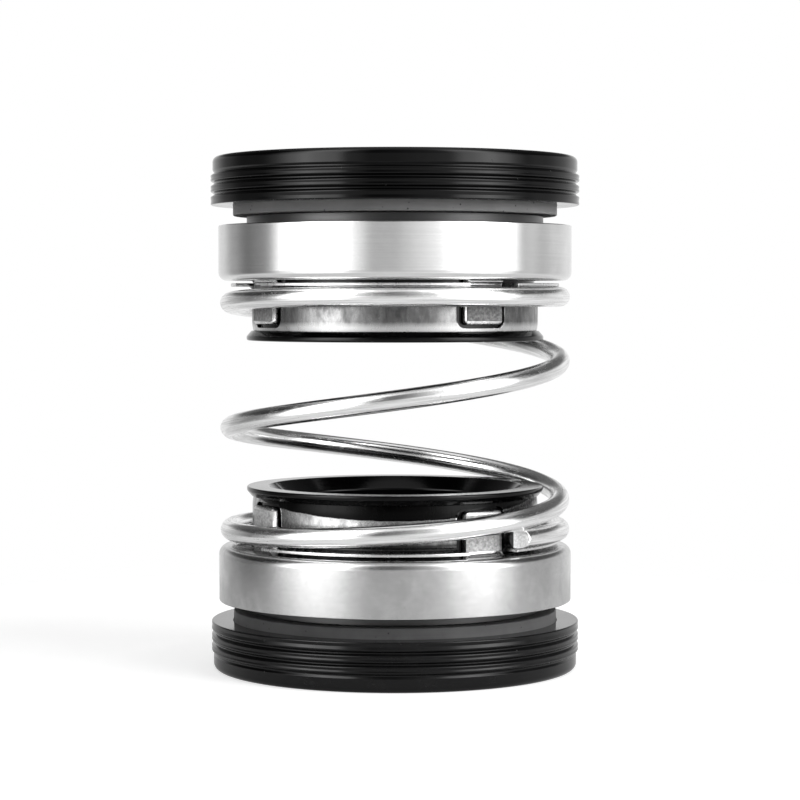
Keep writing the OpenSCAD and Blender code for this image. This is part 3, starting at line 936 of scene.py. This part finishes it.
# what the metal sees: grey levels by the degrees round from the front and the degrees up from the horizon
studioLook = {
    "boxRound": [(-180, 0), (-90, 0), (-74, 0.3), (-56, 0.75), (-38, 0.6), (-26, 0.17), (-14, 0.01),
                 (0, 0.02), (8, 0.06), (16, 0.1), (24, 0.145), (31, 0.21), (44, 0.56), (61, 0.75),
                 (78, 0.36), (92, 0), (180, 0)],
    "boxUp": [(-90, 0.2), (-30, 0.35), (-12, 0.44), (-5, 0.5), (-1, 1), (58, 1), (78, 0), (90, 0)],
    "boxPeak": 4.0,
    "coreRound": [(-180, 0), (-80, 0), (-66, 0.6), (-57, 1), (-48, 0.75), (-38, 0.6), (-29, 0), (34, 0),
                  (46, 0.6), (61, 1), (72, 0.55), (82, 0), (180, 0)],
    "coreUp": [(-90, 0), (-3, 0), (2, 1), (50, 1), (66, 0), (90, 0)],
    "corePeak": 4.0,
    "frontUp": [(-90, 0.85), (-34, 0.85), (-12, 0.64), (-2, 0.54), (4, 0.52), (12, 0.1), (50, 0.08), (66, 0.7),
                (90, 0.9)],
    "sideFrom": 72.0, "sideTo": 96.0,
    "backRound": [(-180, 0.95), (-150, 0.8), (-128, 0.42), (-110, 0.2), (-96, 0.27), (-80, 0.38), (84, 0.5),
                  (98, 0.74), (110, 0.6), (126, 0.75), (148, 0.92), (180, 0.95)],
    "backUp": [(-90, 1), (11, 1), (21, 0.14), (46, 0.14), (62, 1), (90, 1)],
    "plainUp": [(-90, 0.9), (-26, 0.9), (-12, 0.0), (45, 0.0), (70, 0.9), (90, 0.9)],
    "plainTone": 0.9,
    "fillTone": 0.28}


def studioWorld():
    look = studioLook
    world = bpy.data.worlds.new("studio")
    bpy.context.scene.world = world
    world.use_nodes = True
    tree = world.node_tree
    tree.nodes.clear()
    x, y, z = split(put(tree, "ShaderNodeTexCoord").outputs["Generated"])
    around = calc("DEGREES", calc("ARCTAN2", x, times(y, -1.0)))
    height = calc("DEGREES", calc("ARCSINE", z))
    box, core = (times(times(makeRamp(around, look[lamp + "Round"]), makeRamp(height, look[lamp + "Up"])),
                       look[lamp + "Peak"]) for lamp in ("box", "core"))
    back = mix(1.0, makeRamp(around, look["backRound"]), makeRamp(height, look["backUp"]), "MULTIPLY")
    back = mix(makeRamp(height, look["plainUp"]), back, look["plainTone"])
    aside = within(calc("ABSOLUTE", around), look["sideFrom"], look["sideTo"])
    room = mix(aside, makeRamp(height, look["frontUp"]), back)
    lit = mix(1.0, room, plus(box, core), "ADD")
    path = put(tree, "ShaderNodeLightPath").outputs
    shiny = mix(path["Is Glossy Ray"], look["fillTone"], lit)
    clear = calc("MAXIMUM", path["Is Camera Ray"], path["Is Transmission Ray"])
    background = take(tree, "ShaderNodeBackground", {"Color": mix(clear, shiny, 1.0)})
    put(tree, "ShaderNodeOutputWorld", {"Surface": background})


def softBox(name, values):
    lamp = bpy.data.lights.new(name, "AREA")
    lamp.shape = "RECTANGLE"
    lamp.size, lamp.size_y = values["width"], values["height"]
    lamp.energy = values["level"] * math.pi * values["width"] * values["height"]
    holder = newObject(name, lamp)
    side, away = math.radians(values["around"]), values["away"]
    holder.location = (math.sin(side) * away, -math.cos(side) * away, values["up"])
    aim = Vector((0, 0, values["aim"])) - holder.location
    holder.rotation_euler = aim.to_track_quat("-Z", "Y").to_euler()
    holder.visible_camera = False
    holder.visible_glossy = False  # the metal sees the boxes as the world draws them, with soft edges


whiteFloor()
studioWorld()
sideBox = {"away": 0.5, "up": 0.35, "aim": 0.05, "width": 0.4, "height": 0.6}
softBox("leftBox", {**sideBox, "around": -52.0, "level": 0.6})
softBox("rightBox", {**sideBox, "around": 58.0, "level": 4.6})
softBox("topBox", {"away": 0.02, "up": 0.75, "aim": 0.03, "width": 0.5, "height": 0.4,
                   "around": 0.0, "level": 1.5})

cameraSizes = {"offset": 0.00055, "away": 0.275, "up": 0.0406, "lens": 112.5, "pitch": 2.336}
lens = bpy.data.cameras.new("camera")
lens.lens = cameraSizes["lens"]
lens.sensor_width = 36.0
lens.clip_start = 0.01
camera = newObject("camera", lens)
camera.location = (cameraSizes["offset"], -cameraSizes["away"], cameraSizes["up"])
camera.rotation_euler = (math.radians(90 - cameraSizes["pitch"]), 0, 0)
bpy.context.scene.camera = camera
bpy.context.scene.view_settings.view_transform = "Standard"
print("floor, light and camera set")
